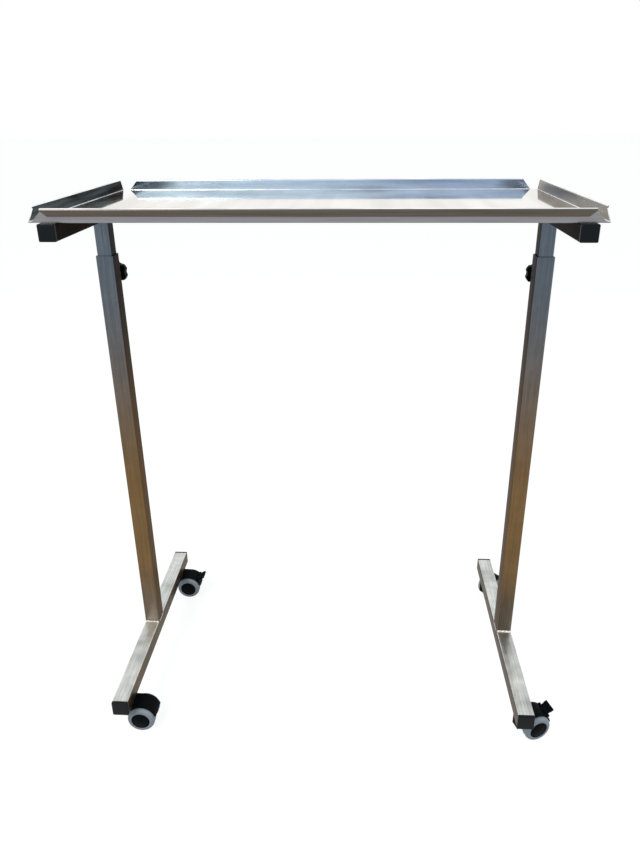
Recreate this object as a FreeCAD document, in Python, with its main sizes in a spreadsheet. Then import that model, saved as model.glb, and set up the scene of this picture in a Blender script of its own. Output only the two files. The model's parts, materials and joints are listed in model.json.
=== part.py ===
"""Surgical bridge table: an instrument tray carried over a patient on two telescopic legs.

Millimetres, +Z up. X runs across the bridge, from the left leg to the right one, and -Y is the
side that the photograph shows. The origin is on the floor, under the middle of the tray.
"""
import FreeCAD, Part
import math
import os
import re

import Sketcher

DIMENSIONS = {
    # The tray is one bent sheet with open corners and a lip folded outwards and down
    "tray_width": 800,
    "tray_depth": 400,
    "tray_wall": 20.5,
    "tray_sheet": 1.2,
    "tray_bend": 0.8,
    "lip_bend": 3.2,
    "lip_drop": 11.3,
    "lip_slant": 10,
    # Each wall's foot ends short of the tray's corner, and its end slants in towards the top
    "front_inset": 4.5,
    "front_slant": 17,
    "rear_inset": 13,
    "rear_slant": 15,
    "side_inset": 2,
    "side_slant_front": 18,
    "side_slant_rear": 10,
    # Square tube: the lifting frame slides inside the two bases
    "inner_tube": 25,
    "inner_wall": 1.5,
    "inner_corner": 2,
    "outer_tube": 30,
    "outer_wall": 1.5,
    "outer_corner": 2.5,
    "leg_inset": 29,
    "upright_length": 785,
    "inner_length": 520,
    "inner_shown": 60,
    "crossbar_proud": 5,
    "foot_length": 440,
    # Black end plugs, the gliding plug at the foot of each inner tube and the liner above it
    "plug_head": 5,
    "plug_insert": 14,
    "plug_core": 17,
    "plug_rib": 1.2,
    "plug_rib_pitch": 4.5,
    "plug_round": 1.5,
    "glide_clearance": 0.2,
    "liner_clearance": 0.1,
    "liner_length": 24,
    "liner_recess": 2,
    # Clamp: boss on the rear face, pressure slug, stud and lobed knob
    "clamp_drop": 38,
    "boss_diameter": 18,
    "boss_height": 7,
    "stud_diameter": 8,
    "slug_length": 5,
    "slug_gap": 0.1,
    "knob_diameter": 40,
    "knob_height": 18,
    "knob_neck": 3,
    "knob_neck_diameter": 18,
    "knob_gap": 1,
    "knob_crown": 2.5,
    "knob_lobes": 6,
    "knob_scallop": 9,
    "knob_scallop_depth": 3,
    "knob_seat": 11,
    "knob_edge": 2,
    # Twin-wheel casters
    "caster_height": 59,
    "stem_inset": 34,
    "trail": 28,
    "stem_thread": 10,
    "stem_collar": 18,
    "collar_height": 3,
    "stem_pin": 8,
    "stem_pin_length": 26,
    "stem_tip": 2,
    "nut_width": 17,
    "nut_height": 8,
    "stem_chamfer": 1,
    "pin_clearance": 0.5,
    "swivel_gap": 0.5,
    "running_fit": 0.05,
    "wheel_diameter": 52,
    "wheel_width": 16,
    "wheel_gap": 0.5,
    "web_width": 14,
    "hub_diameter": 35,
    "hub_dome": 2.3,
    "hub_rim": 2,
    "hub_boss": 14,
    "hub_web": 2.5,
    "cap_depth": 4.5,
    "cap_inset": 0.8,
    "cap_chamfer": 1,
    "rim_inset": 1,
    "axle_clearance": 0.2,
    "tyre_round": 6.5,
    "tyre_edge": 1.5,
    "tyre_overhang": 0.5,
    "axle_diameter": 6,
    "hood_clearance": 1,
    "hood_wall": 2,
    "hood_width": 33,
    "hood_round": 1.2,
    "hood_end": 12,
    "socket_diameter": 17,
    "web_margin": 2,
    # Brake pedal on two of the four casters
    "pedal_angle": 40,
    "pedal_proud": 0.8,
    "pedal_barrel": 6.4,
    "pedal_width": 24,
    "pedal_trunnion": 3,
    "pedal_lug": 2.5,
    "lug_wall": 2,
    "lug_gap": 0.2,
    "barrel_clearance": 0.4,
    "pedal_rise": 30,
    "pedal_reach": 16,
    "pedal_thickness": 4,
    "pedal_neck": 20,
    "pedal_end": 22,
    "pedal_rib": 0.8,
    "rib_margin": 1.5,
    # The way each caster points at rest, from +X towards +Y, in degrees
    "turn_front_left": 0,
    "turn_rear_left": 0,
    "turn_front_right": 20,
    "turn_rear_right": 45,
    # How far outside a face its cut begins
    "cut_over": 1,
}

doc = FreeCAD.newDocument("bridge_table")
sheet = doc.addObject("Spreadsheet::Sheet", "Dimensions")
for row, (alias, size) in enumerate(DIMENSIONS.items(), start=1):
    sheet.set(f"A{row}", alias)
    sheet.set(f"B{row}", str(size))
    sheet.setAlias(f"B{row}", alias)
doc.recompute()

# Each leg stands a fixed way in from the tray's end, and the crossbars run past its front and rear
LEG_X = "(tray_width / 2 - leg_inset)"
CROSSBAR_LENGTH = "(tray_depth + 2 * crossbar_proud)"
# Levels above the floor
FOOT_TOP = "(caster_height + outer_tube)"
UPRIGHT_TOP = f"({FOOT_TOP} + upright_length)"
CROSSBAR_BOTTOM = f"({UPRIGHT_TOP} + inner_shown)"
TRAY_BASE = f"({CROSSBAR_BOTTOM} + inner_tube)"
CLAMP_LEVEL = f"({UPRIGHT_TOP} - clamp_drop)"
# Bores of the two tube sizes
OUTER_BORE = "(outer_tube - 2 * outer_wall)"
INNER_BORE = "(inner_tube - 2 * inner_wall)"
OUTER_BORE_CORNER = "(outer_corner - outer_wall)"
INNER_BORE_CORNER = "(inner_corner - inner_wall)"
# Clamp, measured along +Y from the leg's centre
SLUG_START = "(inner_tube / 2 + slug_gap)"
SLUG_END = f"({SLUG_START} + slug_length)"
BOSS_END = "(outer_tube / 2 + boss_height)"
KNOB_START = f"({BOSS_END} + knob_gap)"
# Casters, in a frame on the floor under the stem, with the wheels trailing along +X
WHEEL_RADIUS = "(wheel_diameter / 2)"
HOOD_RADIUS = f"({WHEEL_RADIUS} + hood_clearance + hood_wall)"
HOOD_TOP = "(caster_height - collar_height - swivel_gap)"
WHEEL_INNER = "(web_width / 2 + wheel_gap)"
STEM_Y = "(foot_length / 2 - stem_inset)"
OVER_LUGS = "(pedal_width + 2 * lug_gap + 2 * pedal_lug)"

SIDES = {"left": -1, "right": 1}
ENDS = {"front": -1, "rear": 1}
BRAKED = ("rear_left", "front_right")
UP = FreeCAD.Vector(0, 0, 1)
ALONG_X = FreeCAD.Vector(1, 0, 0)
ALONG_Y = FreeCAD.Vector(0, 1, 0)


def formula(text):
    """An expression with each driving dimension's name pointed at its cell."""
    return re.sub(r"[a-z_]{3,}", lambda m: f"Dimensions.{m[0]}" if m[0] in DIMENSIONS else m[0], text)


def value(text):
    """The number that a formula stands for."""
    return float(sheet.evalExpression(formula(text)))


def rotation(axis, degrees):
    return FreeCAD.Rotation(axis, degrees)


def place(item, x="0", y="0", z="0", turned=FreeCAD.Rotation()):
    """Puts a finished sub-part where it belongs."""
    item.Placement = FreeCAD.Placement(FreeCAD.Vector(value(x), value(y), value(z)), turned)
    return item


def new_body(name):
    body = doc.addObject("PartDesign::Body", name)
    body.Label = name
    return body


def new_sketch(body, plane, offset="0"):
    """A sketch on one of the body's own planes; XZ looks along -Y, so its offset runs that way."""
    sketch = body.newObject("Sketcher::SketchObject", f"{body.Name}_sketch")
    origin_plane = next(f for f in body.Origin.OriginFeatures if f.Role == f"{plane}_Plane")
    sketch.AttachmentSupport = [(origin_plane, "")]
    sketch.MapMode = "FlatFace"
    sketch.setExpression("AttachmentOffset.Base.z", formula(offset))
    return sketch


def pin_point(sketch, element, end, x, y):
    """Fixes one point of a sketch at two formulas."""
    for kind, axis, text in (("DistanceX", -2, x), ("DistanceY", -1, y)):
        size = value(text)
        if abs(size) < 1e-9:
            sketch.addConstraint(Sketcher.Constraint("PointOnObject", element, end, axis))
            continue
        index = sketch.addConstraint(Sketcher.Constraint(kind, element, end, size))
        sketch.setExpression(f"Constraints[{index}]", formula(text))


def arc_between(start, end, radius, left_turn):
    """The short arc of a radius from start to end, as a circle with its two angles."""
    chord = end - start
    reach = math.sqrt(max(radius ** 2 - (chord.Length / 2) ** 2, 0))
    side = FreeCAD.Vector(-chord.y, chord.x, 0).normalize() * (reach if left_turn else -reach)
    centre = (start + end) / 2 + side
    first, last = (start, end) if left_turn else (end, start)
    angles = [math.atan2(p.y - centre.y, p.x - centre.x) for p in (first, last)]
    if angles[1] <= angles[0]:
        angles[1] += 2 * math.pi
    return Part.ArcOfCircle(Part.Circle(centre, FreeCAD.Vector(0, 0, 1), radius), *angles)


def draw_outline(sketch, corners):
    """A closed outline. A corner is (x, y), or (x, y, radius, left_turn) where an arc leads to it."""
    points = [FreeCAD.Vector(value(c[0]), value(c[1]), 0) for c in corners]
    starts, ends = [], []
    for i, corner in enumerate(corners):
        previous = points[i - 1]
        if len(corner) == 2:
            element = sketch.addGeometry(Part.LineSegment(previous, points[i]))
            starts.append((element, 1))
            ends.append((element, 2))
            continue
        radius, left_turn = corner[2], corner[3]
        element = sketch.addGeometry(arc_between(previous, points[i], value(radius), left_turn))
        starts.append((element, 1 if left_turn else 2))
        ends.append((element, 2 if left_turn else 1))
        index = sketch.addConstraint(Sketcher.Constraint("Radius", element, value(radius)))
        sketch.setExpression(f"Constraints[{index}]", formula(radius))
    for i, corner in enumerate(corners):
        sketch.addConstraint(Sketcher.Constraint("Coincident", *ends[i - 1], *starts[i]))
        pin_point(sketch, *ends[i], corner[0], corner[1])


def draw_circle(sketch, x, y, radius):
    circle = Part.Circle(FreeCAD.Vector(value(x), value(y), 0), FreeCAD.Vector(0, 0, 1), value(radius))
    element = sketch.addGeometry(circle)
    index = sketch.addConstraint(Sketcher.Constraint("Radius", element, value(radius)))
    sketch.setExpression(f"Constraints[{index}]", formula(radius))
    pin_point(sketch, element, 3, x, y)


def draw_rounded_square(sketch, width, corner):
    """A square about the sketch's origin with rounded corners."""
    half, flat = f"({width}) / 2", f"(({width}) / 2 - ({corner}))"
    draw_outline(sketch, [
        (flat, f"-{half}"), (half, f"-{flat}", corner, True),
        (half, flat), (flat, half, corner, True),
        (f"-{flat}", half), (f"-{half}", flat, corner, True),
        (f"-{half}", f"-{flat}"), (f"-{flat}", f"-{half}", corner, True)])


def add_feature(body, kind, sketch, length, both_ways=False, reverse=False):
    """A pad or pocket of a sketch, checked to have changed the solid."""
    before = body.Shape.Volume if body.Tip and body.Tip.isDerivedFrom("PartDesign::Feature") else 0
    feature = body.newObject(f"PartDesign::{kind}", f"{body.Name}_{kind.lower()}")
    feature.Profile = sketch
    feature.SideType = "Symmetric" if both_ways else "One side"
    feature.setExpression("Length", formula(length))
    feature.Reversed = reverse
    doc.recompute()
    change = body.Shape.Volume - before
    if (change <= 0) == (kind == "Pad"):
        raise ValueError(f"{feature.Name} changed nothing")
    return feature


def add_revolution(body, sketch):
    """Turns a sketch once round its own upright axis."""
    feature = body.newObject("PartDesign::Revolution", f"{body.Name}_revolution")
    feature.Profile = sketch
    feature.ReferenceAxis = (sketch, ["V_Axis"])
    feature.Angle = 360
    doc.recompute()
    if body.Shape.Volume <= 0:
        raise ValueError(f"{feature.Name} made nothing")
    return feature


def round_edges(body, radius, wanted):
    """Rounds every edge whose middle and direction the test picks."""
    names = []
    for i, edge in enumerate(body.Shape.Edges, start=1):
        first, last = edge.ParameterRange
        middle = edge.valueAt((first + last) / 2)
        if wanted(edge, body.Placement.inverse().multVec(middle)):
            names.append(f"Edge{i}")
    base = body.Tip
    fillet = body.newObject("PartDesign::Fillet", f"{body.Name}_fillet")
    fillet.Base = (base, names)
    fillet.setExpression("Radius", formula(radius))
    doc.recompute()
    return fillet


def near(a, b, tolerance=0.01):
    return abs(a - b) < tolerance


def make_tray():
    """Floor, four walls and four folded lips, bent from one sheet."""
    body = new_body("tray")
    front, rear = "(tray_width / 2 - front_inset)", "(tray_width / 2 - rear_inset)"
    side = "(tray_depth / 2 - side_inset)"
    floor = new_sketch(body, "XY")
    draw_outline(floor, [
        ("tray_width / 2", f"-{side}"), ("tray_width / 2", side),
        (rear, "tray_depth / 2"), (f"-{rear}", "tray_depth / 2"),
        ("-tray_width / 2", side), ("-tray_width / 2", f"-{side}"),
        (f"-{front}", "-tray_depth / 2"), (front, "-tray_depth / 2")])
    add_feature(body, "Pad", floor, "tray_sheet")
    add_wall(body, "XZ", -1, (f"-{front}", front), ("front_slant", "front_slant"))
    add_wall(body, "XZ", 1, (f"-{rear}", rear), ("rear_slant", "rear_slant"))
    for way in (-1, 1):
        add_wall(body, "YZ", way, (f"-{side}", side), ("side_slant_front", "side_slant_rear"))
    bend_tray_edges(body)
    return place(body, z=TRAY_BASE)


def add_wall(body, plane, way, foot, slants):
    """One wall with its fold and lip, on the tray's low (-1) or high (1) side."""
    half = {"XZ": "tray_depth / 2", "YZ": "tray_width / 2"}[plane]
    # The XZ plane's normal runs along -Y, and the YZ plane's along +X
    facing = way * {"XZ": -1, "YZ": 1}[plane]
    bend_z = "(tray_wall - lip_bend)"
    top = (f"({foot[0]} + {slants[0]})", f"({foot[1]} - {slants[1]})")
    lip = (f"({top[0]} + lip_slant)", f"({top[1]} - lip_slant)")
    wall = new_sketch(body, plane, f"{facing} * {half}")
    draw_outline(wall, [(foot[0], "0"), (foot[1], "0"), (top[1], bend_z), (top[0], bend_z)])
    add_feature(body, "Pad", wall, "tray_sheet", reverse=facing > 0)
    add_fold(body, plane, way, half, top)
    lip_face = f"({half} - tray_sheet + 2 * lip_bend)"
    lip_sheet = new_sketch(body, plane, f"{facing} * {lip_face}")
    lip_z = "(tray_wall - lip_drop)"
    draw_outline(lip_sheet, [(lip[0], lip_z), (lip[1], lip_z), (top[1], bend_z), (top[0], bend_z)])
    add_feature(body, "Pad", lip_sheet, "tray_sheet", reverse=facing > 0)


def add_fold(body, plane, way, half, top):
    """The half-round bend from the head of a wall over to its lip."""
    across = {"XZ": "YZ", "YZ": "XZ"}[plane]
    start = {"XZ": top[0], "YZ": f"-{top[0]}"}[plane]
    bend_z, inner_bend = "(tray_wall - lip_bend)", "(lip_bend - tray_sheet)"
    wall_face = f"{way} * ({half} - tray_sheet)"
    wall_back = f"{way} * {half}"
    crown = f"{way} * ({half} - tray_sheet + lip_bend)"
    lip_back = f"{way} * ({half} + 2 * {inner_bend})"
    lip_face = f"{way} * ({half} - tray_sheet + 2 * lip_bend)"
    over, back = way < 0, way > 0
    fold = new_sketch(body, across, start)
    draw_outline(fold, [
        (wall_face, bend_z), (crown, "tray_wall", "lip_bend", over),
        (lip_face, bend_z, "lip_bend", over), (lip_back, bend_z),
        (crown, "(tray_wall - tray_sheet)", inner_bend, back), (wall_back, bend_z, inner_bend, back)])
    add_feature(body, "Pad", fold, f"({top[1]} - {top[0]})", reverse=plane == "YZ")


def bend_tray_edges(body):
    """The bends between floor and walls, inside and out."""
    wide, deep, sheet_size = value("tray_width / 2"), value("tray_depth / 2"), value("tray_sheet")
    # Unlike slants at a wall's two ends move the middle of its upper edges a little
    slant_shift = abs(value("side_slant_front - side_slant_rear"))

    def runs_along_wall(edge, at, level, inset):
        on_end = near(abs(at.x), wide - inset) and near(at.y, 0, slant_shift)
        on_side = near(abs(at.y), deep - inset) and near(at.x, 0, slant_shift)
        return near(at.z, level) and (on_end or on_side)

    round_edges(body, "tray_bend", lambda e, p: runs_along_wall(e, p, sheet_size, sheet_size))
    round_edges(body, "tray_sheet * 0.9", lambda e, p: runs_along_wall(e, p, 0, 0))


def make_tube(name, plane, length, width, wall, corner, both_ways=False):
    """A length of square tube with rounded corners, open at both ends."""
    body = new_body(name)
    outside = new_sketch(body, plane)
    draw_rounded_square(outside, width, corner)
    add_feature(body, "Pad", outside, length, both_ways)
    bore = new_sketch(body, plane)
    draw_rounded_square(bore, f"({width} - 2 * {wall})", f"({corner} - {wall})")
    add_feature(body, "Pocket", bore, f"2 * ({length})", both_ways=True)
    return body


def make_end_plug(name, head, bore, bore_corner, corner):
    """A moulded plug: a head over the tube's end and a ribbed insert. +Z points out of the tube."""
    body = new_body(name)
    cap = new_sketch(body, "XY")
    draw_rounded_square(cap, head, corner)
    add_feature(body, "Pad", cap, "plug_head")
    head_top = value("plug_head")
    round_edges(body, "plug_round", lambda e, p: near(p.z, head_top))
    core = new_sketch(body, "XY")
    draw_rounded_square(core, "plug_core", "plug_round")
    add_feature(body, "Pad", core, "plug_insert", reverse=True)
    rib = new_sketch(body, "XY", "-plug_rib_pitch")
    draw_rounded_square(rib, bore, bore_corner)
    rib_pad = add_feature(body, "Pad", rib, "plug_rib")
    ribs = body.newObject("PartDesign::LinearPattern", f"{name}_ribs")
    ribs.Originals = [rib_pad]
    ribs.Direction = (rib, ["N_Axis"])
    ribs.Reversed = True
    ribs.Occurrences = 3
    ribs.setExpression("Length", formula("2 * plug_rib_pitch"))
    body.Tip = ribs
    doc.recompute()
    return body


def make_upright(side):
    """Outer tube of a leg with the boss that the clamp stud screws through, on its rear face."""
    body = make_tube(f"upright_{side}", "XY", "upright_length", "outer_tube", "outer_wall",
                     "outer_corner")
    level = "(upright_length - clamp_drop)"
    boss = new_sketch(body, "XZ", "-outer_tube / 2")
    draw_circle(boss, "0", level, "boss_diameter / 2")
    add_feature(body, "Pad", boss, "boss_height", reverse=True)
    hole = new_sketch(body, "XZ", f"-{OUTER_BORE} / 2 + cut_over")
    draw_circle(hole, "0", level, "(stud_diameter / 2 + running_fit)")
    add_feature(body, "Pocket", hole, "(outer_wall + boss_height + 2 * cut_over)")
    return place(body, f"{SIDES[side]} * {LEG_X}", "0", FOOT_TOP)


def make_foot_bar(side):
    """The bar along the floor, with a hole near each end for a caster stem."""
    body = make_tube(f"foot_bar_{side}", "XZ", "foot_length", "outer_tube", "outer_wall",
                     "outer_corner", both_ways=True)
    holes = new_sketch(body, "XY", "-outer_tube / 2 - cut_over")
    for sign in ENDS.values():
        draw_circle(holes, "0", f"{sign} * {STEM_Y}", "(stem_thread / 2 + running_fit)")
    add_feature(body, "Pocket", holes, "outer_wall + 2 * cut_over", reverse=True)
    return place(body, f"{SIDES[side]} * {LEG_X}", "0", "(caster_height + outer_tube / 2)")


def make_liner(side):
    """A thin plastic liner inside the mouth of the outer tube."""
    body = new_body(f"guide_liner_{side}")
    outside = new_sketch(body, "XY")
    draw_rounded_square(outside, OUTER_BORE, OUTER_BORE_CORNER)
    add_feature(body, "Pad", outside, "liner_length")
    bore = new_sketch(body, "XY")
    draw_rounded_square(bore, "(inner_tube + 2 * liner_clearance)", "(inner_corner + liner_clearance)")
    add_feature(body, "Pocket", bore, "2 * liner_length", both_ways=True)
    return place(body, f"{SIDES[side]} * {LEG_X}", "0",
                 f"({UPRIGHT_TOP} - liner_recess - liner_length)")


def make_lifting_frame():
    """The crossbars under the tray and the inner tubes welded below them."""
    for side, sign in SIDES.items():
        leg_x = f"{sign} * {LEG_X}"
        crossbar = make_tube(f"crossbar_{side}", "XZ", CROSSBAR_LENGTH, "inner_tube", "inner_wall",
                             "inner_corner", both_ways=True)
        place(crossbar, leg_x, "0", f"({CROSSBAR_BOTTOM} + inner_tube / 2)")
        inner = make_tube(f"inner_tube_{side}", "XY", "inner_length", "inner_tube", "inner_wall",
                          "inner_corner")
        place(inner, leg_x, "0", f"({CROSSBAR_BOTTOM} - inner_length)")
        glide = make_end_plug(f"inner_glide_{side}", f"({OUTER_BORE} - 2 * glide_clearance)",
                              INNER_BORE, INNER_BORE_CORNER, "inner_corner")
        place(glide, leg_x, "0", f"({CROSSBAR_BOTTOM} - inner_length)", rotation(ALONG_X, 180))
        for end, way in ENDS.items():
            plug = make_end_plug(f"crossbar_plug_{end}_{side}", "inner_tube", INNER_BORE,
                                 INNER_BORE_CORNER, "inner_corner")
            place(plug, leg_x, f"{way} * {CROSSBAR_LENGTH} / 2",
                  f"({CROSSBAR_BOTTOM} + inner_tube / 2)", rotation(ALONG_X, -90 * way))


def make_bases():
    """Each leg's outer tube, foot bar, plugs, liner and the nuts that hold its casters."""
    for side, sign in SIDES.items():
        leg_x = f"{sign} * {LEG_X}"
        make_upright(side)
        make_foot_bar(side)
        make_liner(side)
        for end, way in ENDS.items():
            plug = make_end_plug(f"foot_plug_{end}_{side}", "outer_tube", OUTER_BORE,
                                 OUTER_BORE_CORNER, "outer_corner")
            place(plug, leg_x, f"{way} * foot_length / 2", "(caster_height + outer_tube / 2)",
                  rotation(ALONG_X, -90 * way))
        make_caster_nuts(side, leg_x)


def make_caster_nuts(side, leg_x):
    """Two hexagon nuts on the inside of the foot bar's lower wall, one over each caster."""
    nuts = []
    for end, way in ENDS.items():
        blank = doc.addObject("Part::Prism", f"nut_blank_{end}_{side}")
        blank.Polygon = 6
        blank.setExpression("Circumradius", formula("nut_width / sqrt(3)"))
        blank.setExpression("Height", formula("nut_height"))
        bore = doc.addObject("Part::Cylinder", f"nut_bore_{end}_{side}")
        bore.setExpression("Radius", formula("stem_thread / 2 + running_fit"))
        bore.setExpression("Height", formula("nut_height"))
        nut = doc.addObject("Part::Cut", f"nut_{end}_{side}")
        nut.Base = blank
        nut.Tool = bore
        nuts.append(place(nut, leg_x, f"{way} * {STEM_Y}", "(caster_height + outer_wall)"))
    group = doc.addObject("Part::Compound", f"caster_nuts_{side}")
    group.Links = nuts
    group.Label = f"caster_nuts_{side}"


def make_clamps():
    """The pressure slug, threaded stud and lobed knob behind each upright."""
    facing_rear = rotation(ALONG_X, -90)
    for side, sign in SIDES.items():
        leg_x = f"{sign} * {LEG_X}"
        slug = new_body(f"clamp_slug_{side}")
        end_face = new_sketch(slug, "XY")
        draw_circle(end_face, "0", "0", "stud_diameter / 2")
        add_feature(slug, "Pad", end_face, "slug_length")
        place(slug, leg_x, SLUG_START, CLAMP_LEVEL, facing_rear)
        stud = new_body(f"clamp_stud_{side}")
        section = new_sketch(stud, "XY")
        draw_circle(section, "0", "0", "stud_diameter / 2")
        add_feature(stud, "Pad", section, f"({KNOB_START} + knob_seat - {SLUG_END})")
        place(stud, leg_x, SLUG_END, CLAMP_LEVEL, facing_rear)
        place(make_knob(side), leg_x, KNOB_START, CLAMP_LEVEL, facing_rear)


def make_knob(side):
    """A moulded star knob: neck, skirt and low crown, with scallops between the lobes."""
    body = new_body(f"clamp_knob_{side}")
    profile = new_sketch(body, "XZ")
    radius, shoulder = "(knob_diameter / 2)", "(knob_height - knob_crown)"
    draw_outline(profile, [
        ("0", "0"), ("knob_neck_diameter / 2", "0"), ("knob_neck_diameter / 2", "knob_neck"),
        (radius, "knob_neck"), (radius, f"({shoulder} - knob_edge)"),
        (f"({radius} - knob_edge)", shoulder), ("0", "knob_height")])
    add_revolution(body, profile)
    seat = new_sketch(body, "XY", "-cut_over")
    draw_circle(seat, "0", "0", "stud_diameter / 2")
    add_feature(body, "Pocket", seat, "knob_seat + cut_over", reverse=True)
    scallop = new_sketch(body, "XY", "knob_neck - cut_over")
    draw_circle(scallop, "(knob_diameter / 2 + knob_scallop - knob_scallop_depth)", "0", "knob_scallop")
    cut = add_feature(body, "Pocket", scallop, "knob_height", reverse=True)
    pattern = body.newObject("PartDesign::PolarPattern", f"{body.Name}_scallops")
    pattern.Originals = [cut]
    pattern.Axis = (scallop, ["N_Axis"])
    pattern.Angle = 360
    pattern.Occurrences = int(value("knob_lobes"))
    body.Tip = pattern
    doc.recompute()
    return body


def caster_frame(end, side):
    """Where a caster's own frame lies: on the floor under its stem, turned to its rest angle."""
    x = value(f"{SIDES[side]} * {LEG_X}")
    y = value(f"{ENDS[end]} * {STEM_Y}")
    return FreeCAD.Placement(FreeCAD.Vector(x, y, 0), rotation(UP, value(f"turn_{end}_{side}")))


def make_stem(name):
    """Threaded stem with a round collar and the pin that the hood turns on."""
    body = new_body(name)
    profile = new_sketch(body, "XZ")
    pin, thread, collar = "stem_pin / 2", "stem_thread / 2", "stem_collar / 2"
    collar_foot = "(caster_height - collar_height)"
    pin_foot = f"({collar_foot} - stem_pin_length)"
    tip = "(caster_height + outer_wall + nut_height + stem_tip)"
    draw_outline(profile, [
        ("0", pin_foot), (f"({pin} - stem_chamfer)", pin_foot), (pin, f"({pin_foot} + stem_chamfer)"),
        (pin, collar_foot), (collar, collar_foot), (collar, "caster_height"),
        (thread, "caster_height"), (thread, f"({tip} - stem_chamfer)"),
        (f"({thread} - stem_chamfer)", tip), ("0", tip)])
    add_revolution(body, profile)
    return body


def make_hood(name, braked):
    """The caster's body: a hood over both wheels, a web between them and the stem socket."""
    body = new_body(name)
    axle_z, top, radius = WHEEL_RADIUS, HOOD_TOP, HOOD_RADIUS
    socket = "(socket_diameter / 2)"
    # The flat top runs from the socket to where it meets the hood's round at a tangent
    rise, run = f"({top} - {axle_z})", f"(trail - {socket})"
    slant = f"sqrt({run} ^ 2 + {rise} ^ 2)"
    lean = f"(atan2({rise}; -{run}) - acos({radius} / {slant}))"
    tangent_x = f"(trail + {radius} * cos({lean}))"
    tangent_z = f"({axle_z} + {radius} * sin({lean}))"
    # Its other end stands a few degrees above the axle, as seen from the axle
    end_x = f"(trail + {radius} * cos(hood_end * 1 deg))"
    end_z = f"({axle_z} + {radius} * sin(hood_end * 1 deg))"
    web = "(hub_boss / 2 + web_margin)"
    side_view = new_sketch(body, "XZ")
    draw_outline(side_view, [
        (f"(trail + {web})", axle_z), (end_x, end_z), (tangent_x, tangent_z, radius, True),
        (socket, top), (f"-{socket}", top), (f"-{socket}", axle_z)])
    add_feature(body, "Pad", side_view, "hood_width", both_ways=True)
    trim_hood_corners(body)
    round_hood_rim(body)
    for sign, reverse in ((1, False), (-1, True)):
        well = new_sketch(body, "XZ", f"{sign} * web_width / 2")
        draw_circle(well, "trail", axle_z, f"({WHEEL_RADIUS} + hood_clearance)")
        add_feature(body, "Pocket", well, "hood_width", reverse=not reverse)
    web_end = new_sketch(body, "XZ")
    draw_circle(web_end, "trail", axle_z, web)
    add_feature(body, "Pad", web_end, "web_width", both_ways=True)
    bore = new_sketch(body, "XY", f"({top} + cut_over)")
    draw_circle(bore, "0", "0", "(stem_pin / 2 + running_fit)")
    add_feature(body, "Pocket", bore, "(stem_pin_length + pin_clearance + cut_over)")
    axle_bore = new_sketch(body, "XZ")
    draw_circle(axle_bore, "trail", axle_z, "axle_diameter / 2")
    add_feature(body, "Pocket", axle_bore, "2 * web_width", both_ways=True)
    if braked:
        add_pedal_seat(body)
    return body


def trim_hood_corners(body):
    """Takes the hood in towards the socket, as seen from above."""
    plan = new_sketch(body, "XY")
    for sign in (1, -1):
        outer = f"{sign} * (hood_width / 2 + cut_over)"
        draw_outline(plan, [
            ("-socket_diameter", outer), ("-socket_diameter", f"{sign} * socket_diameter / 2"),
            ("-socket_diameter / 4", f"{sign} * socket_diameter / 2"),
            ("socket_diameter / 2", f"{sign} * hood_width / 2"), ("socket_diameter / 2", outer)])
    add_feature(body, "Pocket", plan, "2 * caster_height", both_ways=True)


def round_hood_rim(body):
    """Softens the two outer rims of the hood, from its end to the corners by the socket."""
    half_width, socket = value("hood_width / 2"), value("socket_diameter / 2")
    hood_end = value(f"{WHEEL_RADIUS} + {HOOD_RADIUS} * sin(hood_end * 1 deg)")

    def on_rim(edge, at):
        return near(abs(at.y), half_width) and at.z > hood_end and at.x > socket + 0.1

    round_edges(body, "hood_round", on_rim)


def pedal_pivot():
    """The pedal's pivot in the caster's frame, as two formulas."""
    radius = f"({HOOD_RADIUS} + pedal_proud)"
    x = f"(trail + {radius} * cos(pedal_angle * 1 deg))"
    z = f"({WHEEL_RADIUS} + {radius} * sin(pedal_angle * 1 deg))"
    return x, z


def add_pedal_seat(body):
    """Two lugs on the hood and the notch between them for the brake pedal's barrel."""
    x, z = pedal_pivot()
    for sign in (1, -1):
        lug = new_sketch(body, "XZ", f"{sign} * (pedal_width / 2 + lug_gap + pedal_lug / 2)")
        draw_circle(lug, x, z, "(pedal_trunnion / 2 + lug_wall)")
        add_feature(body, "Pad", lug, "pedal_lug", both_ways=True)
    notch = new_sketch(body, "XZ")
    draw_circle(notch, x, z, "(pedal_barrel / 2 + barrel_clearance)")
    add_feature(body, "Pocket", notch, "(pedal_width + 2 * lug_gap)", both_ways=True)
    bore = new_sketch(body, "XZ")
    draw_circle(bore, x, z, "(pedal_trunnion / 2 + running_fit)")
    add_feature(body, "Pocket", bore, OVER_LUGS, both_ways=True)


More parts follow.
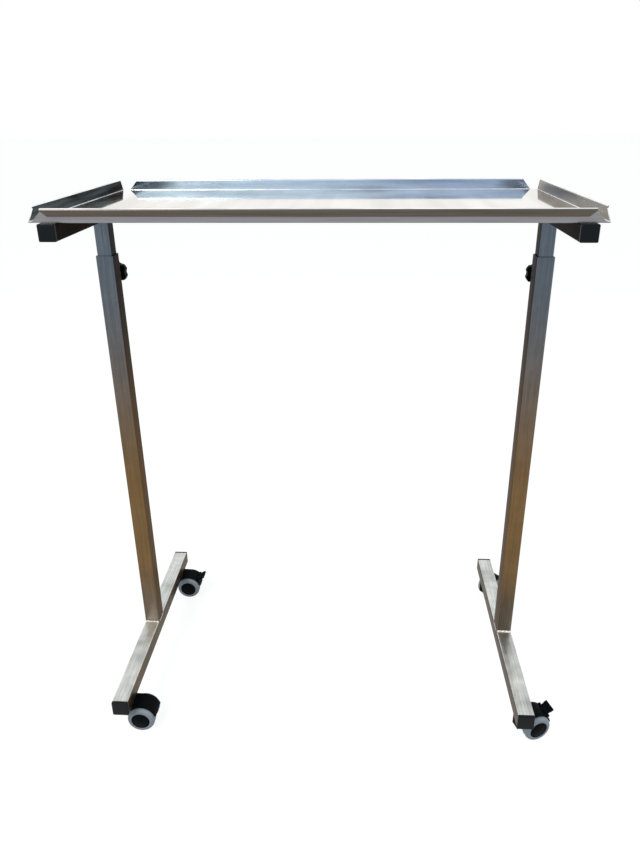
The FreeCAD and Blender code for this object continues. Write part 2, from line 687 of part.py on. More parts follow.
def make_pedal(name):
    """Brake pedal: barrel with two trunnions, a rising neck and a ribbed flared end."""
    body = new_body(name)
    # Drawn about its own pivot, with +X along the neck
    barrel = new_sketch(body, "XZ")
    draw_circle(barrel, "0", "0", "pedal_barrel / 2")
    add_feature(body, "Pad", barrel, "pedal_width", both_ways=True)
    trunnion = new_sketch(body, "XZ")
    draw_circle(trunnion, "0", "0", "pedal_trunnion / 2")
    add_feature(body, "Pad", trunnion, OVER_LUGS, both_ways=True)
    blade = new_sketch(body, "XY", "-pedal_thickness / 2")
    neck, end = "(pedal_neck / 2)", "(pedal_end / 2)"
    neck_end, flare_end = "(pedal_reach * 0.45)", "(pedal_reach * 0.6)"
    draw_outline(blade, [
        ("0", f"-{neck}"), (neck_end, f"-{neck}"), (flare_end, f"-{end}"), ("pedal_reach", f"-{end}"),
        ("pedal_reach", end), (flare_end, end), (neck_end, neck), ("0", neck)])
    add_feature(body, "Pad", blade, "pedal_thickness")
    rib = new_sketch(body, "XZ")
    rib_start, rib_foot = "(pedal_reach * 0.68)", "(pedal_thickness / 4)"
    rib_end, rib_top = f"({rib_start} + pedal_rib)", "(pedal_thickness / 2 + pedal_rib)"
    rib_spread = "(pedal_reach * 0.25)"
    draw_outline(rib, [(rib_start, rib_foot), (rib_end, rib_foot), (rib_end, rib_top),
                       (rib_start, rib_top)])
    rib_pad = add_feature(body, "Pad", rib, "(pedal_end - 2 * rib_margin)", both_ways=True)
    ribs = body.newObject("PartDesign::LinearPattern", f"{name}_ribs")
    ribs.Originals = [rib_pad]
    ribs.Direction = (rib, ["H_Axis"])
    ribs.Occurrences = 3
    ribs.setExpression("Length", formula(rib_spread))
    body.Tip = ribs
    doc.recompute()
    return body


def make_axle(name):
    """Steel axle through the web, reaching into both hubs."""
    body = new_body(name)
    section = new_sketch(body, "XZ")
    draw_circle(section, "trail", WHEEL_RADIUS, "axle_diameter / 2")
    length = f"2 * ({WHEEL_INNER} + wheel_width - cap_depth)"
    add_feature(body, "Pad", section, length, both_ways=True)
    return body


def make_hub(name):
    """Wheel core seen from its inner face: sleeve, web, rim and the closed, slightly conical cap."""
    body = new_body(name)
    profile = new_sketch(body, "XZ")
    bore, boss, rim = "(axle_diameter / 2 + running_fit)", "hub_boss / 2", "hub_diameter / 2"
    cap = "(wheel_width - cap_depth + axle_clearance)"
    rim_inside = f"({rim} - hub_rim)"
    shoulder = "(wheel_width - cap_inset)"
    draw_outline(profile, [
        (bore, "0"), (boss, "0"), (boss, f"({cap} - hub_web)"), (rim_inside, f"({cap} - hub_web)"),
        (rim_inside, "rim_inset"), (rim, "rim_inset"), (rim, shoulder),
        (f"({rim} - cap_chamfer)", f"({shoulder} + cap_chamfer)"), ("0", f"({shoulder} + hub_dome)"),
        ("0", cap), (bore, cap)])
    add_revolution(body, profile)
    return body


def make_tyre(name):
    """Soft tread ring, round at its outer edge and chamfered at its inner one."""
    body = new_body(name)
    profile = new_sketch(body, "XZ")
    inside, tread = "hub_diameter / 2", WHEEL_RADIUS
    low, high = "tyre_overhang", "(wheel_width - tyre_overhang)"
    draw_outline(profile, [
        (inside, low), (f"({tread} - tyre_edge)", low), (tread, f"({low} + tyre_edge)"),
        (tread, f"({high} - tyre_round)"), (f"({tread} - tyre_round)", high, "tyre_round", True),
        (inside, high)])
    add_revolution(body, profile)
    return body


def make_casters():
    """Four twin-wheel casters; two of them have a brake pedal."""
    for side in SIDES:
        for end in ENDS:
            corner = f"{end}_{side}"
            frame = caster_frame(end, side)
            make_stem(f"caster_stem_{corner}").Placement = frame
            make_hood(f"caster_hood_{corner}", corner in BRAKED).Placement = frame
            make_axle(f"caster_axle_{corner}").Placement = frame
            for wheel, way in (("a", 1), ("b", -1)):
                seat = FreeCAD.Vector(value("trail"), way * value(WHEEL_INNER), value(WHEEL_RADIUS))
                place_wheel = frame * FreeCAD.Placement(seat, rotation(ALONG_X, -90 * way))
                make_hub(f"hub_{corner}_{wheel}").Placement = place_wheel
                make_tyre(f"tyre_{corner}_{wheel}").Placement = place_wheel
            if corner in BRAKED:
                x, z = pedal_pivot()
                pivot = FreeCAD.Vector(value(x), 0, value(z))
                raised = rotation(ALONG_Y, -value("pedal_rise"))
                pedal = make_pedal(f"brake_pedal_{corner}")
                pedal.Placement = frame * FreeCAD.Placement(pivot, raised)


def write_parts():
    """Checks every object, then writes each sub-part to a file of its own."""
    doc.recompute()
    failed = [o.Name for o in doc.Objects if {"Invalid", "Error"} & set(o.State)]
    if failed:
        raise ValueError(f"failed objects: {failed}")
    subparts = [o for o in doc.Objects if o.isDerivedFrom("PartDesign::Body")
                or o.isDerivedFrom("Part::Compound")]
    for item in subparts:
        if item.Shape.isNull() or not item.Shape.isValid():
            raise ValueError(f"{item.Label} has no valid shape")
    os.makedirs("parts", exist_ok=True)
    for item in subparts:
        item.Shape.exportStep(f"parts/{item.Label}.step")
    print(f"wrote {len(subparts)} sub-parts")


make_tray()
make_lifting_frame()
make_bases()
make_clamps()
make_casters()
write_parts()
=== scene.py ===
"""A stainless surgical bridge table on twin-wheel casters, dressed round its CAD frame."""

import json
import math

import bmesh
import bpy
from mathutils import Matrix, Vector


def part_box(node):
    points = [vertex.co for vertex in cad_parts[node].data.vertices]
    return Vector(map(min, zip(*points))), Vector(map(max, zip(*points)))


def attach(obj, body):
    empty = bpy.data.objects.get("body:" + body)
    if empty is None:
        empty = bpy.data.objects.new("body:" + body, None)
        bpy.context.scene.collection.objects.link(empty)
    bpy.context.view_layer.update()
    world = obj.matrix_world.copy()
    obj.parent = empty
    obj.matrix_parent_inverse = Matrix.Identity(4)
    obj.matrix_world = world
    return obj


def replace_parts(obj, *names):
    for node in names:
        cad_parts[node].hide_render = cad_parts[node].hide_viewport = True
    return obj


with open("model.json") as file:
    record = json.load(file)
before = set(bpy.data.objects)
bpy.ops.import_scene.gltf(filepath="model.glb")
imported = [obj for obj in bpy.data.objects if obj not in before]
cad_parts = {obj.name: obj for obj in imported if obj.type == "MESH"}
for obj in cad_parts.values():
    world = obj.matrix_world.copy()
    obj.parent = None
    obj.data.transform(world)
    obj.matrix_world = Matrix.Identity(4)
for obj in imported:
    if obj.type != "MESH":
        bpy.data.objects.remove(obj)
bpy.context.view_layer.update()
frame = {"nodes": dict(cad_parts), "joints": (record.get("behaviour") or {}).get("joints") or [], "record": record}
nodes = frame["nodes"]
joints = {joint["name"]: joint for joint in frame["joints"]}

MM = 0.001
SIDES = ("left", "right")
ENDS = ("front", "rear")
CORNERS = [f"{end}_{side}" for side in SIDES for end in ENDS]
BRAKED = ("rear_left", "front_right")

# The photograph's camera, found from the edges of the tray, the legs and the foot bars
PHOTO_WIDTH, PHOTO_HEIGHT = 640, 853
FOCAL_PIXELS = 660.98
PRINCIPAL_POINT = (328.49, 370.40)
CAMERA_PLACE = (0.06473, -1.11258, 1.10329)
CAMERA_TURN = (68.462, 0.426, 2.697)
SENSOR_MM = 36

# Sizes that new pieces share with the solids, in millimetres
TUBE_OUT = 30
TUBE_IN = 25
TRAY_SHEET = 1.2
LIP_OUT = 5.2  # from the outer face of a lip to the inner face of its wall


def linear(hex_colour):
    """An sRGB hex colour as linear red, green, blue and alpha."""
    parts = [int(hex_colour[i:i + 2], 16) / 255 for i in (1, 3, 5)]
    return [p / 12.92 if p <= 0.04045 else ((p + 0.055) / 1.055) ** 2.4 for p in parts] + [1]


def set_inputs(tree, node, inputs):
    """Sets or links a node's inputs. Each is a value or another node's output."""
    for name, source in inputs.items():
        if isinstance(source, bpy.types.NodeSocket):
            tree.links.new(source, node.inputs[name])
        else:
            node.inputs[name].default_value = source


def add_node(tree, kind, inputs=None, **settings):
    """Adds a node with its settings and its inputs."""
    node = tree.nodes.new(kind)
    for name, setting in settings.items():
        setattr(node, name, setting)
    set_inputs(tree, node, inputs or {})
    return node


def new_material(name):
    """An empty material with its surface shader, and the Object coordinates in metres."""
    material = bpy.data.materials.new(name)
    material.use_nodes = True
    tree = material.node_tree
    tree.nodes.clear()
    shader = add_node(tree, "ShaderNodeBsdfPrincipled")
    add_node(tree, "ShaderNodeOutputMaterial", {"Surface": shader.outputs["BSDF"]})
    place = add_node(tree, "ShaderNodeTexCoord").outputs["Object"]
    return material, tree, shader, place


def tint_material(material, tint):
    """Multiplies the material's own colour by a tint made in its tree."""
    tree = material.node_tree
    shader = next(node for node in tree.nodes if node.type == "BSDF_PRINCIPLED")
    own_colour = shader.inputs["Base Color"].links[0].from_socket
    tinted = add_node(tree, "ShaderNodeMix", {0: 1.0, 6: own_colour, 7: tint},
                      data_type="RGBA", blend_type="MULTIPLY")
    tree.links.new(tinted.outputs[2], shader.inputs["Base Color"])


def brushed_stainless(name, grain_axis, tones, mottle=0.5, edge=1.0, line_mm=1.6, roughness=(0.28, 0.42)):
    """Stainless tube, belt brushed along its length: fine lines, with broad dull and bright patches.

    The real lines are about 0.2 mm apart; they are drawn wider so that they show. A low edge value
    keeps a side dark where it is seen at a grazing angle.
    """
    material, tree, shader, place = new_material(name)
    across = 1000 / line_mm
    along = across / 60
    scale = [along if axis == grain_axis else across for axis in "XYZ"]
    stretched = add_node(tree, "ShaderNodeMapping", {"Vector": place, "Scale": scale})
    lines = add_node(tree, "ShaderNodeTexNoise",
                     {"Vector": stretched.outputs["Vector"], "Scale": 1, "Detail": 3, "Roughness": 0.65})
    patch_mm = 34
    patches = add_node(tree, "ShaderNodeTexNoise",
                       {"Vector": place, "Scale": 1000 / patch_mm, "Detail": 4, "Roughness": 0.6})
    blend = add_node(tree, "ShaderNodeMix",
                     {"Factor": mottle, "A": lines.outputs["Fac"], "B": patches.outputs["Fac"]})
    tone = add_node(tree, "ShaderNodeMapRange",
                    {"Value": blend.outputs["Result"], "From Min": 0.34, "From Max": 0.66})
    colour = add_node(tree, "ShaderNodeMix",
                      {0: tone.outputs["Result"], 6: linear(tones[0]), 7: linear(tones[1])},
                      data_type="RGBA")
    rough = add_node(tree, "ShaderNodeMapRange",
                     {"Value": lines.outputs["Fac"], "From Min": 0.3, "From Max": 0.7,
                      "To Min": roughness[0], "To Max": roughness[1]})
    bump = add_node(tree, "ShaderNodeBump",
                    {"Height": lines.outputs["Fac"], "Strength": 0.25, "Distance": 0.05 * MM})
    set_inputs(tree, shader, {
        "Base Color": colour.outputs[2], "Metallic": 1.0, "Roughness": rough.outputs["Result"],
        "Specular Tint": [edge, edge, edge, 1], "Normal": bump.outputs["Normal"]})
    return material


def upright_stainless(name, cool, reflected_brown, foot, edge=1.0):
    """Brushed tube with a painted reflection of a brown room: cool grey at its head, warming to brown and turning
    greyer near its foot.
    """
    material = brushed_stainless(name, "Z", ("#D2D2D2", "#FFFFFF"), mottle=0.3, edge=edge)
    tree = material.node_tree
    place = next(node for node in tree.nodes if node.type == "TEX_COORD").outputs["Object"]
    height = add_node(tree, "ShaderNodeSeparateXYZ", {"Vector": place}).outputs["Z"]
    brown_reflection_ramp = add_node(tree, "ShaderNodeMapRange",
                       {"Value": height, "From Min": 0.88, "From Max": 0.40}, interpolation_type="SMOOTHSTEP")
    foot_reflection_ramp = add_node(tree, "ShaderNodeMapRange",
                       {"Value": height, "From Min": 0.26, "From Max": 0.09}, interpolation_type="SMOOTHSTEP")
    upper = add_node(tree, "ShaderNodeMix",
                     {0: brown_reflection_ramp.outputs["Result"], 6: linear(cool), 7: linear(reflected_brown)}, data_type="RGBA")
    tint = add_node(tree, "ShaderNodeMix",
                    {0: foot_reflection_ramp.outputs["Result"], 6: upper.outputs[2], 7: linear(foot)}, data_type="RGBA")
    tint_material(material, tint.outputs[2])
    return material


def polished_sheet(name, tones, reflection_bands_mm, roughness, grain_axis="X", edge=1.0, relief=0.05):
    """Bright annealed stainless sheet, close to a mirror: broad bands of painted reflection and fine rubbing
    marks.

    Real rubbing marks are hair thin; these are drawn about 1.5 mm wide so that they show.
    """
    material, tree, shader, place = new_material(name)
    marks_mm = 1.5
    scale = [14 if axis == grain_axis else 1000 / marks_mm for axis in "XYZ"]
    stretched = add_node(tree, "ShaderNodeMapping", {"Vector": place, "Scale": scale})
    hairlines = add_node(tree, "ShaderNodeTexNoise",
                         {"Vector": stretched.outputs["Vector"], "Scale": 1, "Detail": 2})
    banded = add_node(tree, "ShaderNodeMapping",
                      {"Vector": place, "Scale": [1000 / size for size in reflection_bands_mm]})
    clouds = add_node(tree, "ShaderNodeTexNoise",
                      {"Vector": banded.outputs["Vector"], "Scale": 1, "Detail": 3, "Roughness": 0.45})
    tone = add_node(tree, "ShaderNodeMapRange",
                    {"Value": clouds.outputs["Fac"], "From Min": 0.38, "From Max": 0.62})
    colour = add_node(tree, "ShaderNodeMix",
                      {0: tone.outputs["Result"], 6: linear(tones[0]), 7: linear(tones[1])},
                      data_type="RGBA")
    rough = add_node(tree, "ShaderNodeMapRange",
                     {"Value": clouds.outputs["Fac"], "From Min": 0.3, "From Max": 0.7,
                      "To Min": roughness[0], "To Max": roughness[1]})
    bump = add_node(tree, "ShaderNodeBump",
                    {"Height": hairlines.outputs["Fac"], "Strength": relief, "Distance": 0.02 * MM})
    set_inputs(tree, shader, {
        "Base Color": colour.outputs[2], "Metallic": 1.0, "Roughness": rough.outputs["Result"],
        "Specular Tint": [edge, edge, edge, 1], "Normal": bump.outputs["Normal"]})
    return material


def reflection_graded_sheet(name, left, right):
    """Polished wall with a painted reflection of a room: its tone shifts from one end of the tray to the other."""
    material = polished_sheet(name, ("#DADDE0", "#FFFFFF"), (160, 160, 12), (0.1, 0.14), relief=0.01)
    tree = material.node_tree
    place = next(node for node in tree.nodes if node.type == "TEX_COORD").outputs["Object"]
    along = add_node(tree, "ShaderNodeSeparateXYZ", {"Vector": place}).outputs["X"]
    across = add_node(tree, "ShaderNodeMapRange", {"Value": along, "From Min": -0.38, "From Max": 0.38},
                      interpolation_type="SMOOTHSTEP")
    tint = add_node(tree, "ShaderNodeMix",
                    {0: across.outputs["Result"], 6: linear(left), 7: linear(right)}, data_type="RGBA")
    tint_material(material, tint.outputs[2])
    return material


def mill_sheet(name, tones):
    """The back of the same sheet: a satin rolled surface with faint streaks along X and Y; given dark tones, it
    also makes the lips' painted dark reflection.
    """
    material, tree, shader, place = new_material(name)
    stretched = add_node(tree, "ShaderNodeMapping", {"Vector": place, "Scale": [12, 12, 700]})
    streaks = add_node(tree, "ShaderNodeTexNoise",
                       {"Vector": stretched.outputs["Vector"], "Scale": 1, "Detail": 3})
    colour = add_node(tree, "ShaderNodeMix",
                      {0: streaks.outputs["Fac"], 6: linear(tones[0]), 7: linear(tones[1])},
                      data_type="RGBA")
    set_inputs(tree, shader, {"Base Color": colour.outputs[2], "Metallic": 1.0, "Roughness": 0.34})
    return material


def moulded_plastic(name, colour, roughness, grain_mm=0.9, relief=0.12, specular=0.5):
    """Moulded plastic: one colour all through, with a fine eroded texture that breaks up the gloss."""
    material, tree, shader, place = new_material(name)
    grain = add_node(tree, "ShaderNodeTexNoise",
                     {"Vector": place, "Scale": 1000 / grain_mm, "Detail": 2, "Roughness": 0.5})
    rough = add_node(tree, "ShaderNodeMapRange",
                     {"Value": grain.outputs["Fac"], "From Min": 0.3, "From Max": 0.7,
                      "To Min": roughness - 0.06, "To Max": roughness + 0.08})
    bump = add_node(tree, "ShaderNodeBump",
                    {"Height": grain.outputs["Fac"], "Strength": relief, "Distance": 0.05 * MM})
    set_inputs(tree, shader, {
        "Base Color": linear(colour), "Roughness": rough.outputs["Result"], "IOR": 1.5,
        "Specular IOR Level": specular, "Normal": bump.outputs["Normal"]})
    return material


def zinc_plate():
    """Bright zinc plated steel: pale, slightly blue, with a soft crystalline cloud."""
    material, tree, shader, place = new_material("zinc_plated_steel")
    clouds = add_node(tree, "ShaderNodeTexNoise", {"Vector": place, "Scale": 350, "Detail": 3})
    colour = add_node(tree, "ShaderNodeMix",
                      {0: clouds.outputs["Fac"], 6: linear("#9AA0A6"), 7: linear("#C3C8CC")},
                      data_type="RGBA")
    set_inputs(tree, shader, {"Base Color": colour.outputs[2], "Metallic": 1.0, "Roughness": 0.3})
    return material


def weld_metal():
    """Stainless weld run: bright rippled metal with a faint straw heat tint."""
    material, tree, shader, place = new_material("stainless_weld_run")
    heat = add_node(tree, "ShaderNodeTexNoise", {"Vector": place, "Scale": 220, "Detail": 2})
    colour = add_node(tree, "ShaderNodeMix",
                      {0: heat.outputs["Fac"], 6: linear("#B9AD98"), 7: linear("#E4E6E8")},
                      data_type="RGBA")
    set_inputs(tree, shader, {"Base Color": colour.outputs[2], "Metallic": 1.0, "Roughness": 0.25})
    return material


# Painted reflection: the upright faces go from cool grey at the head to brown, then greyer at the foot.
UPRIGHT_REFLECTED_FACE = upright_stainless("brushed_stainless_upright_painted_reflection_faces", "#5F6973", "#7A6141", "#70665A")
# Painted shade: the upright sides that face the middle are darker, and carry the same painted brown reflection.
UPRIGHT_SHADED_SIDE = upright_stainless("brushed_stainless_upright_painted_shade_sides", "#332E2C", "#6C5337", "#6B5643", 0.5)
# Lit and shaded copies of the foot bars: bright mottled tops with painted sheen, and painted shade in dark brown
# on the sides that face the middle.
FOOT_LIT_TOP = brushed_stainless("brushed_stainless_foot_painted_sheen_top", "Y", ("#9A9F9D", "#E8EAE6"), 0.5)
FOOT_SHADED_SIDE = brushed_stainless("brushed_stainless_foot_painted_shade_sides", "Y", ("#4B4135", "#766856"), 0.5, 0.6)
CROSSBAR = brushed_stainless("brushed_stainless_crossbar", "Y", ("#55565A", "#7C7D80"), 0.4)
# Painted shade: the crossbar sides that face the middle are near black, as in the shadow under the tray.
CROSSBAR_SHADED_SIDE = brushed_stainless("brushed_stainless_crossbar_painted_shade_sides", "Y", ("#1B1815", "#2E2A26"),
                                  0.4, 0.45)
INNER_FACE = brushed_stainless("brushed_stainless_inner_faces", "Z", ("#4B555F", "#626D78"), 0.2)
# Painted shade: the inner tube sides that face the middle are darker.
INNER_SHADED_SIDE = brushed_stainless("brushed_stainless_inner_painted_shade_sides", "Z", ("#262627", "#383533"), 0.2, 0.5)
# Painted reflection: a cream floor with soft greyish bands along X, as the room reflects in it.
TRAY_FLOOR_REFLECTION = polished_sheet("polished_stainless_painted_reflection_floor", ("#D8D2C9", "#F8F6F0"), (70, 900, 900), (0.03, 0.09))
# Painted reflection: the long walls go from light blue at the left to grey-blue at the right.
LONG_WALL_REFLECTION = reflection_graded_sheet("polished_stainless_painted_reflection_long_wall", "#D5EAFA", "#A0B4D0")
# Painted reflection: the left wall's inside is dark grey-brown.
LEFT_WALL_REFLECTION = polished_sheet("polished_stainless_painted_reflection_left_wall", ("#3A3633", "#5C6466"), (120, 120, 10),
                           (0.3, 0.36), "Y", 0.4, 0.02)
# Painted reflection: the right wall's inside is mid grey-brown.
RIGHT_WALL_REFLECTION = polished_sheet("polished_stainless_painted_reflection_right_wall", ("#8C867E", "#A8A298"), (120, 120, 10),
                            (0.3, 0.36), "Y", 0.8, 0.02)
# Painted highlight: near-white crests on the folds and bends of the tray.
TRAY_FOLD_HIGHLIGHT = polished_sheet("polished_stainless_painted_highlight_fold", ("#DDE3E6", "#FFFFFF"), (60, 60, 60), (0.2, 0.28))
# Painted reflection: the lips are dark brown-grey.
TRAY_LIP_REFLECTION = mill_sheet("stainless_lip_painted_dark_reflection", ("#47413C", "#6E665F"))
MILL_BACK = mill_sheet("mill_finish_stainless_back", ("#77777B", "#9A999C"))
BLACK_NYLON = moulded_plastic("moulded_black_nylon", "#0B1013", 0.45, specular=0.12)
BLACK_ABS = moulded_plastic("moulded_black_abs", "#070A0C", 0.5, specular=0.03)
GREY_TREAD = moulded_plastic("grey_polyurethane_tread", "#808A92", 0.5, grain_mm=1.5, relief=0.2)
ACETAL = moulded_plastic("white_acetal_liner", "#E6E4DC", 0.4)
ZINC = zinc_plate()
WELD = weld_metal()


def finish_piece(name, mesh_source, body, materials, smooth_deg=35):
    """Makes an object from a bmesh, smooth where its faces meet at a small angle, riding on a body."""
    mesh = bpy.data.meshes.new(name)
    bmesh.ops.recalc_face_normals(mesh_source, faces=mesh_source.faces)
    mesh_source.to_mesh(mesh)
    mesh_source.free()
    piece = bpy.data.objects.new(name, mesh)
    bpy.context.scene.collection.objects.link(piece)
    for material in materials:
        mesh.materials.append(material)
    mesh.shade_smooth()
    mesh.set_sharp_from_angle(angle=math.radians(smooth_deg))
    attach(piece, body)
    return piece


def body_of(node):
    bodies = frame["record"]["behaviour"]["bodies"]
    return next(body for body, names in bodies.items() if node in names)


def dressed_copy(node, materials, bevel_mm=0.0, smooth_deg=35):
    """A joined-up copy of a CAD node, with flat faces whole and edges softly broken."""
    work = bmesh.new()
    work.from_mesh(nodes[node].data)
    bmesh.ops.remove_doubles(work, verts=work.verts, dist=1e-6)
    bmesh.ops.dissolve_limit(work, angle_limit=math.radians(0.6), verts=work.verts, edges=work.edges)
    piece = finish_piece(f"{node}_dressed", work, body_of(node), materials, smooth_deg)
    if bevel_mm:
        bevel = piece.modifiers.new("broken_edges", "BEVEL")
        bevel.width = bevel_mm * MM
        bevel.segments = 2
        bevel.limit_method = "ANGLE"
        bevel.angle_limit = math.radians(40)
        bevel.harden_normals = True
    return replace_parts(piece, node)


def spun(profile, matrix, steps=64):
    """A bmesh turned from an outline of (radius, along) points in millimetres about the matrix's Z."""
    work = bmesh.new()
    verts = [work.verts.new((r * MM, 0, z * MM)) for r, z in profile]
    edges = [work.edges.new((a, b)) for a, b in zip(verts, verts[1:])]
    bmesh.ops.spin(work, geom=verts + edges, axis=(0, 0, 1), cent=(0, 0, 0), dvec=(0, 0, 0),
                   angle=math.tau, steps=steps, use_merge=True, use_normal_flip=False,
                   use_duplicate=False)
    bmesh.ops.remove_doubles(work, verts=work.verts, dist=1e-6)
    bmesh.ops.transform(work, matrix=matrix, verts=work.verts)
    return work


def arc_points(centre, radius, start_deg, end_deg, count):
    """Points on an arc of an outline, from one angle to another."""
    angles = [math.radians(start_deg + (end_deg - start_deg) * i / (count - 1)) for i in range(count)]
    return [(centre[0] + radius * math.cos(a), centre[1] + radius * math.sin(a)) for a in angles]


def frame_along(place, direction):
    """A matrix at a place whose Z runs along a direction."""
    turn = Vector(direction).to_track_quat("Z", "Y").to_matrix().to_4x4()
    return Matrix.Translation(place) @ turn


def paint_faces(piece, choose):
    """Gives each face the material whose index the rule picks from its middle and its normal."""
    for face in piece.data.polygons:
        face.material_index = choose(face.center / MM, face.normal)


def dress_tray():
    """The bent sheet: mirror floor with painted reflection bands, inner walls in painted reflected tones, painted
    highlights on the bends, lips painted dark as a reflection and a mill back.

    Each face is told apart by its nearest edge of the tray, its height and the way that it points.
    """
    materials = [TRAY_FLOOR_REFLECTION, LONG_WALL_REFLECTION, LEFT_WALL_REFLECTION, RIGHT_WALL_REFLECTION, TRAY_FOLD_HIGHLIGHT, TRAY_LIP_REFLECTION, MILL_BACK]
    floor, long_wall, left_wall, right_wall, fold, lip, back = range(7)
    piece = dressed_copy("tray", materials, smooth_deg=50)
    low, high = [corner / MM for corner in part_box("tray")]
    bend_start, crown = high.z - 3.2, high.z - TRAY_SHEET

    def choose(middle, normal):
        x_gap, y_gap = high.x - abs(middle.x), high.y - abs(middle.y)
        gap, outwards, wall = min(
            (x_gap, normal.x * math.copysign(1, middle.x), left_wall if middle.x < 0 else right_wall),
            (y_gap, normal.y * math.copysign(1, middle.y), long_wall))
        # Above the bend: a painted highlight on the fold's crest, the wall's own tone inside and the lip's painted
        # dark reflection outside.
        if middle.z > bend_start:
            return fold if middle.z > crown and normal.z > 0.3 else wall if outwards < 0 else lip
        # The outer faces of the lips get the painted dark reflection; the faces inside the gap get the mill back.
        if gap < LIP_OUT - TRAY_SHEET:
            return lip if outwards > 0.3 else back
        if normal.z > 0.97:
            return floor
        # The bend at a wall's foot gets the fold's painted highlight.
        if normal.z > 0.1 and outwards < 0:
            return fold
        return wall if outwards < -0.2 and gap > LIP_OUT else back

    paint_faces(piece, choose)
    mitre_fold_ends(piece, high)
    flat = piece.modifiers.new("flat_sheet_between_bends", "WEIGHTED_NORMAL")
    flat.keep_sharp = True
    return piece


def mitre_fold_ends(piece, high):
    """Cuts the side folds and lips back at the front, so that they end behind the wall's own end."""
    wall_face, set_back, front_zone, fold_drop = high.x - LIP_OUT, 12, -150, 12
    for vertex in piece.data.vertices:
        across = (abs(vertex.co.x) / MM - wall_face) / LIP_OUT
        if across > 0 and vertex.co.y / MM < front_zone and vertex.co.z / MM > high.z - fold_drop:
            vertex.co.y += set_back * MM * min(across, 1)


def wheel_pose(corner, wheel):
    """Where a wheel stands: its middle, with Z pointing outwards along its axle."""
    joint = joints[f"wheel_{corner}_{wheel}_roll"]
    outward = Vector(joint["axis"]) * (1 if wheel == "a" else -1)
    return frame_along(Vector(joint["pos_m"]), outward)


def dress_wheel(corner, wheel):
    """A black hub with a stepped face and low dome inside a soft grey tread."""
    pose, body = wheel_pose(corner, wheel), f"wheel_{corner}_{wheel}"
    tread = ([(17.5, -7.5), (24, -7.5)] + arc_points((24.5, -6), 1.5, -60, 0, 4)
             + [(26, -3.7), (25.7, -3.3), (25.7, -2.9), (26, -2.5)]
             + arc_points((19.5, 1), 6.5, 0, 90, 12) + [(18.1, 7.5), (17.6, 7.2), (17.5, 6.6)])
    tyre = finish_piece(f"tread_{corner}_{wheel}", spun(tread + tread[:1], pose), body,
                        [GREY_TREAD])
    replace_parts(tyre, f"tyre_{corner}_{wheel}")
    hub = ([(3.05, -8), (7, -8), (7, 1.2), (15.5, 1.2), (15.5, -7), (17.5, -7), (17.5, 6.2), (16.9, 7.1)]
           + [(15.6, 7.3), (15.2, 6.8), (14.6, 6.8), (14.2, 7.5)]
           + [(11, 8.3), (7.5, 8.9), (4, 9.3), (0, 9.5), (0, 3.7), (3.05, 3.7), (3.05, -8)])
    cap = finish_piece(f"wheel_core_{corner}_{wheel}", spun(hub, pose), body, [BLACK_ABS])
    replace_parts(cap, f"hub_{corner}_{wheel}")


def dress_casters():
    for corner in CORNERS:
        dressed_copy(f"caster_hood_{corner}", [BLACK_ABS], bevel_mm=0.5)
        for wheel in ("a", "b"):
            dress_wheel(corner, wheel)
        if corner in BRAKED:
            dressed_copy(f"brake_pedal_{corner}", [BLACK_ABS], bevel_mm=0.25)


def weld_run(work, start, end, width_mm, count):
    """A run of overlapping weld scales from start to end, added to a bmesh."""
    start, end = Vector(start), Vector(end)
    turn = (end - start).to_track_quat("X", "Z").to_matrix().to_4x4()
    for i in range(count):
        place = start.lerp(end, (i + 0.5) / count)
        size = width_mm * MM * (1 + 0.12 * math.sin(2.4 * i))
        squash = Matrix.Diagonal((0.75, 1, 1, 1))
        made = bmesh.ops.create_uvsphere(work, u_segments=12, v_segments=8, radius=size / 2)
        bmesh.ops.transform(work, matrix=Matrix.Translation(place) @ turn @ squash, verts=made["verts"])


def weld_round_tube(name, body, middle_x, height, tube_mm, reach, widths_mm, count):
    """Runs along the four edges where a square tube meets another piece: wide at front and rear."""
    half = tube_mm / 2 * MM
    across, flank = widths_mm
    work = bmesh.new()
    for way in (-1, 1):
        y = way * half
        weld_run(work, (middle_x - half * reach, y, height), (middle_x + half * reach, y, height),
                 across, count)
        x = middle_x + way * half
        weld_run(work, (x, -half * reach, height), (x, half * reach, height), flank, count)
    finish_piece(name, work, body, [WELD])


def add_welds():
    """Welds round the foot of each upright and where each inner tube meets its crossbar."""
    for side in SIDES:
        low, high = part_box(f"upright_{side}")
        middle_x, foot = (low.x + high.x) / 2, low.z
        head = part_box(f"inner_tube_{side}")[1].z
        weld_round_tube(f"foot_weld_{side}", f"base_{side}", middle_x, foot, TUBE_OUT, 0.86,
                        (5.5, 2.2), 9)
        weld_round_tube(f"crossbar_weld_{side}", "bridge", middle_x, head, TUBE_IN, 0.84,
                        (4.2, 1.8), 8)


def dress_tubes():
    """Square tubes keep their solids' shape; the side that faces the middle is darker, as painted shade."""
    def choose(middle, normal):
        # Index 1, the painted shade material, for the sides that face the middle.
        return int(abs(normal.x) > 0.75 and normal.x * middle.x < 0)

    for side in SIDES:
        for node, face, inside in ((f"upright_{side}", UPRIGHT_REFLECTED_FACE, UPRIGHT_SHADED_SIDE),
                                   (f"foot_bar_{side}", FOOT_LIT_TOP, FOOT_SHADED_SIDE),
                                   (f"inner_tube_{side}", INNER_FACE, INNER_SHADED_SIDE),
                                   (f"crossbar_{side}", CROSSBAR, CROSSBAR_SHADED_SIDE)):
            piece = dressed_copy(node, [face, inside], bevel_mm=0.3)
            paint_faces(piece, choose)


def dress_plugs_and_knobs():
    for side in SIDES:
        dressed_copy(f"clamp_knob_{side}", [BLACK_ABS], bevel_mm=0.6, smooth_deg=40)
        for end in ENDS:
            dressed_copy(f"crossbar_plug_{end}_{side}", [BLACK_NYLON], bevel_mm=0.4)
            dressed_copy(f"foot_plug_{end}_{side}", [BLACK_NYLON], bevel_mm=0.4)


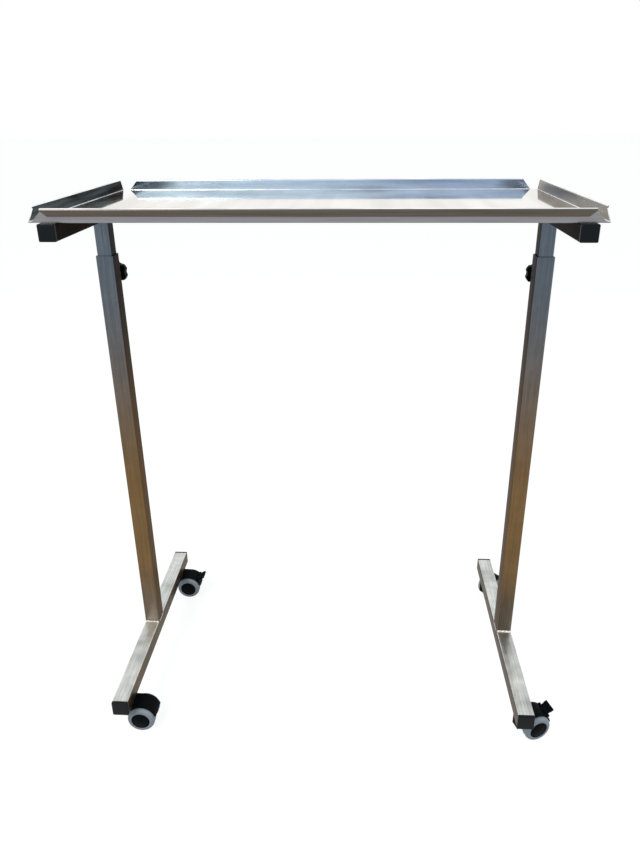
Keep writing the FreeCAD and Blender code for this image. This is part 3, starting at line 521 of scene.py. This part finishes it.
def paint_hidden_nodes():
    """Inner pieces keep their solids and only need a finish."""
    finishes = {"guide_liner": ACETAL, "inner_glide": BLACK_NYLON, "caster_nuts": ZINC,
                "caster_stem": ZINC, "caster_axle": ZINC, "clamp_stud": ZINC, "clamp_slug": ZINC}
    for name, node in nodes.items():
        for start, material in finishes.items():
            if name.startswith(start):
                node.data.materials.clear()
                node.data.materials.append(material)


def seen_directly(tree):
    """1 for what the camera, a reflection or a clear piece sees, and 0 for light on the object."""
    path = add_node(tree, "ShaderNodeLightPath")
    seen = path.outputs["Is Camera Ray"]
    for ray in ("Is Glossy Ray", "Is Transmission Ray"):
        seen = add_node(tree, "ShaderNodeMath", {0: seen, 1: path.outputs[ray]},
                        operation="MAXIMUM").outputs["Value"]
    return seen


def set_world():
    """An even pale room; the camera and mirror-like surfaces see it as white."""
    world = bpy.data.worlds.new("pale_room")
    bpy.context.scene.world = world
    world.use_nodes = True
    tree = world.node_tree
    tree.nodes.clear()
    room = add_node(tree, "ShaderNodeBackground", {"Color": linear("#E9EDF0"), "Strength": 0.75})
    white = add_node(tree, "ShaderNodeBackground", {"Color": linear("#FFFFFF"), "Strength": 1.0})
    mixed = add_node(tree, "ShaderNodeMixShader", {0: seen_directly(tree),
                                                   1: room.outputs["Background"],
                                                   2: white.outputs["Background"]})
    add_node(tree, "ShaderNodeOutputWorld", {"Surface": mixed.outputs["Shader"]})


def add_floor():
    """A pale studio floor that fades to white and keeps the table's soft shadow."""
    work = bmesh.new()
    bmesh.ops.create_grid(work, x_segments=1, y_segments=1, size=30)
    mesh = bpy.data.meshes.new("studio_floor")
    work.to_mesh(mesh)
    work.free()
    floor = bpy.data.objects.new("studio_floor", mesh)
    bpy.context.scene.collection.objects.link(floor)
    material = bpy.data.materials.new("pale_studio_floor")
    material.use_nodes = True
    tree = material.node_tree
    tree.nodes.clear()
    glow = add_node(tree, "ShaderNodeMath", {0: seen_directly(tree), 1: 0.86}, operation="MULTIPLY")
    shader = add_node(tree, "ShaderNodeBsdfPrincipled",
                      {"Base Color": [0.2, 0.2, 0.2, 1], "Roughness": 0.9, "Specular IOR Level": 0.0,
                       "Emission Color": [1, 1, 1, 1], "Emission Strength": glow.outputs["Value"]})
    add_node(tree, "ShaderNodeOutputMaterial", {"Surface": shader.outputs["BSDF"]})
    mesh.materials.append(material)


def add_lamp(name, place, aim, size, watts, colour):
    lamp = bpy.data.lights.new(name, "AREA")
    lamp.shape = "RECTANGLE"
    lamp.size, lamp.size_y = size
    lamp.energy = watts
    lamp.color = linear(colour)[:3]
    holder = bpy.data.objects.new(name, lamp)
    bpy.context.scene.collection.objects.link(holder)
    holder.location = place
    holder.rotation_euler = (Vector(aim) - Vector(place)).to_track_quat("-Z", "Y").to_euler()


def set_camera():
    camera = bpy.data.cameras.new("photograph")
    camera.sensor_width = SENSOR_MM
    camera.lens = FOCAL_PIXELS / PHOTO_HEIGHT * SENSOR_MM
    camera.shift_x = (PHOTO_WIDTH / 2 - PRINCIPAL_POINT[0]) / PHOTO_HEIGHT
    camera.shift_y = (PRINCIPAL_POINT[1] - PHOTO_HEIGHT / 2) / PHOTO_HEIGHT
    holder = bpy.data.objects.new("photograph", camera)
    bpy.context.scene.collection.objects.link(holder)
    holder.location = CAMERA_PLACE
    holder.rotation_euler = [math.radians(angle) for angle in CAMERA_TURN]
    bpy.context.scene.camera = holder


set_camera()
set_world()
add_floor()
add_lamp("key_softbox", (-1.6, -1.8, 2.6), (0, 0, 0.6), (1.6, 1.6), 60, "#FFFFFF")
add_lamp("fill_softbox", (2.2, -0.8, 1.6), (0, 0, 0.6), (1.2, 1.8), 22, "#F4F7FF")
dress_tray()
dress_tubes()
dress_plugs_and_knobs()
dress_casters()
add_welds()
paint_hidden_nodes()

bpy.context.scene.view_settings.view_transform = "Standard"
